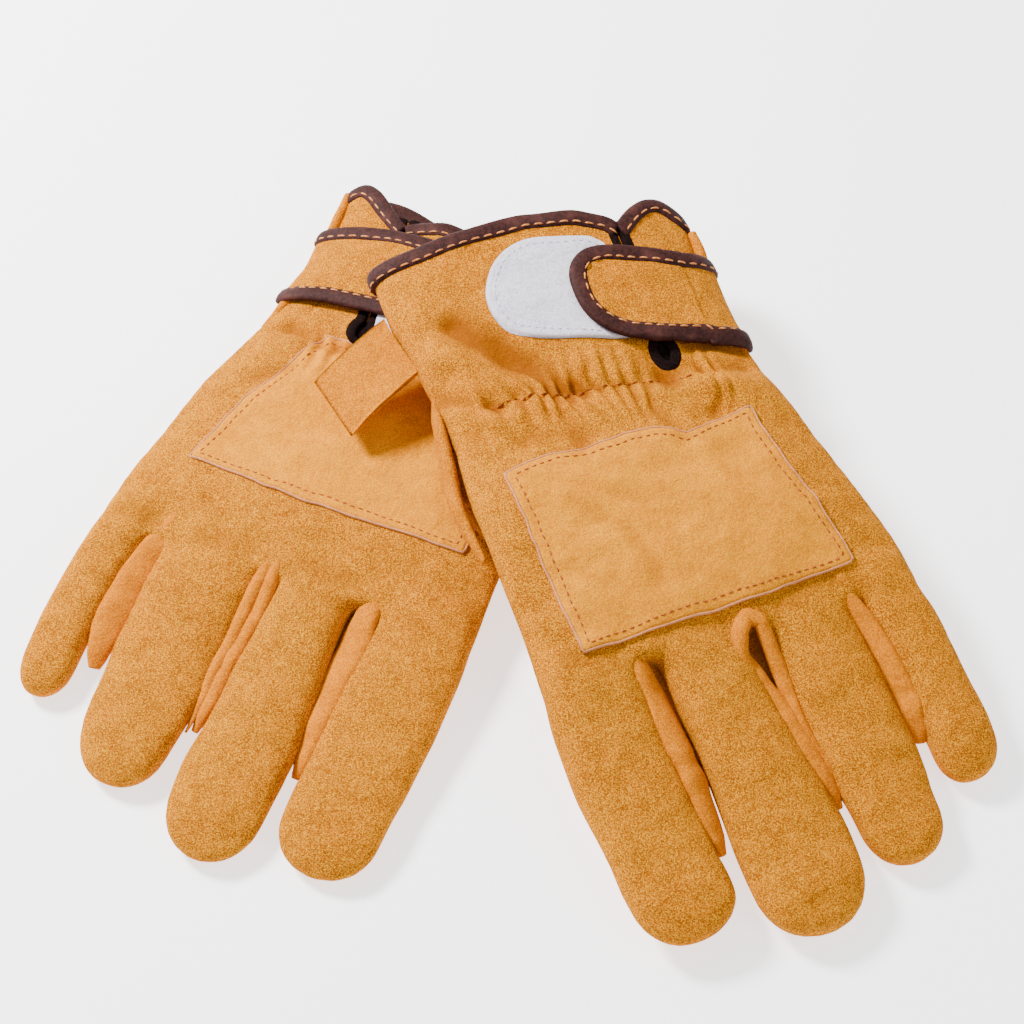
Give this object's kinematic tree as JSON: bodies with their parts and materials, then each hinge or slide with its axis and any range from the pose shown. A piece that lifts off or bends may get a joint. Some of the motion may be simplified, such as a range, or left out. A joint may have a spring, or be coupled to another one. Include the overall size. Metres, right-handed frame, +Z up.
{
  "type": "pair of work gloves",
  "caption": "Pair of yellow split-suede work gloves with back patches, bound cuffs, hook-and-loop wrist straps and pull loops, one glove lying on the other.",
  "frame": {"origin": "bottom centre of the bounding box, on the surface that the gloves lie on", "axes": "+Z up, out of the backs of the hands; -Y towards the fingertips; +X towards the upper, left-hand glove"},
  "size_m": [0.3098, 0.284, 0.0544],
  "materials": {
    "hide": "matt suede",
    "palm_hide": "matt suede",
    "strip_hide": "matt suede",
    "patch_hide": "smooth side out, satin",
    "loop_hide": "matt suede",
    "binding": "matt",
    "pile": "brushed loop pile",
    "elastic": "matt",
    "hooks": "matt"
  },
  "bodies": {
    "right_glove": {"right_back_panel": "hide", "right_palm_panel": "palm_hide", "right_fourchette_index_middle": "strip_hide", "right_fourchette_middle_ring": "strip_hide", "right_fourchette_ring_little": "strip_hide", "right_thumb_upper": "palm_hide", "right_thumb_lower": "palm_hide", "right_back_patch": "patch_hide", "right_cuff_binding": "binding", "right_slit_binding": "binding", "right_elastic_band": "elastic", "right_loop_pad": "pile"},
    "left_glove": {"left_back_panel": "hide", "left_palm_panel": "palm_hide", "left_fourchette_index_middle": "strip_hide", "left_fourchette_middle_ring": "strip_hide", "left_fourchette_ring_little": "strip_hide", "left_thumb_upper": "palm_hide", "left_thumb_lower": "palm_hide", "left_back_patch": "patch_hide", "left_cuff_binding": "binding", "left_slit_binding": "binding", "left_elastic_band": "elastic", "left_loop_pad": "pile"},
    "left_strap": {"left_strap_panel": "hide", "left_strap_binding": "binding", "left_hook_pad": "hooks"},
    "left_loop": {"left_pull_loop": "loop_hide"},
    "right_strap": {"right_strap_panel": "hide", "right_strap_binding": "binding", "right_hook_pad": "hooks"},
    "right_loop": {"right_pull_loop": "loop_hide"}
  },
  "joints": [
    {"name": "left_lift", "type": "slide", "parent": "right_glove", "child": "left_glove", "axis": [0, 0, 1], "range_m": [0, 0.15]},
    {"name": "left_strap_peel", "type": "hinge", "parent": "left_glove", "child": "left_strap", "pos_m": [0.07256, 0.0818, 0.03318], "axis": [-0.236, 0.9683, 0.0817], "range_deg": [0, 150]},
    {"name": "left_loop_swing", "type": "hinge", "parent": "left_glove", "child": "left_loop", "pos_m": [-0.03447, 0.05014, 0.03967], "axis": [-0.4455, 0.8885, 0.1098], "range_deg": [0, 100]},
    {"name": "right_strap_peel", "type": "hinge", "parent": "right_glove", "child": "right_strap", "pos_m": [-0.07043, 0.10746, 0.011], "axis": [-0.2429, -0.9699, 0.0139], "range_deg": [0, 150]},
    {"name": "right_loop_swing", "type": "hinge", "parent": "right_glove", "child": "right_loop", "pos_m": [0.03674, 0.0756, 0.01092], "axis": [-0.454, -0.891, 0], "range_deg": [0, 100]}
  ],
  "couplings": [
    {"joint": "right_strap_peel", "follows": "left_lift", "rad_per_m": 17.45},
    {"joint": "right_loop_swing", "follows": "left_lift", "rad_per_m": 11.63}
  ]
}
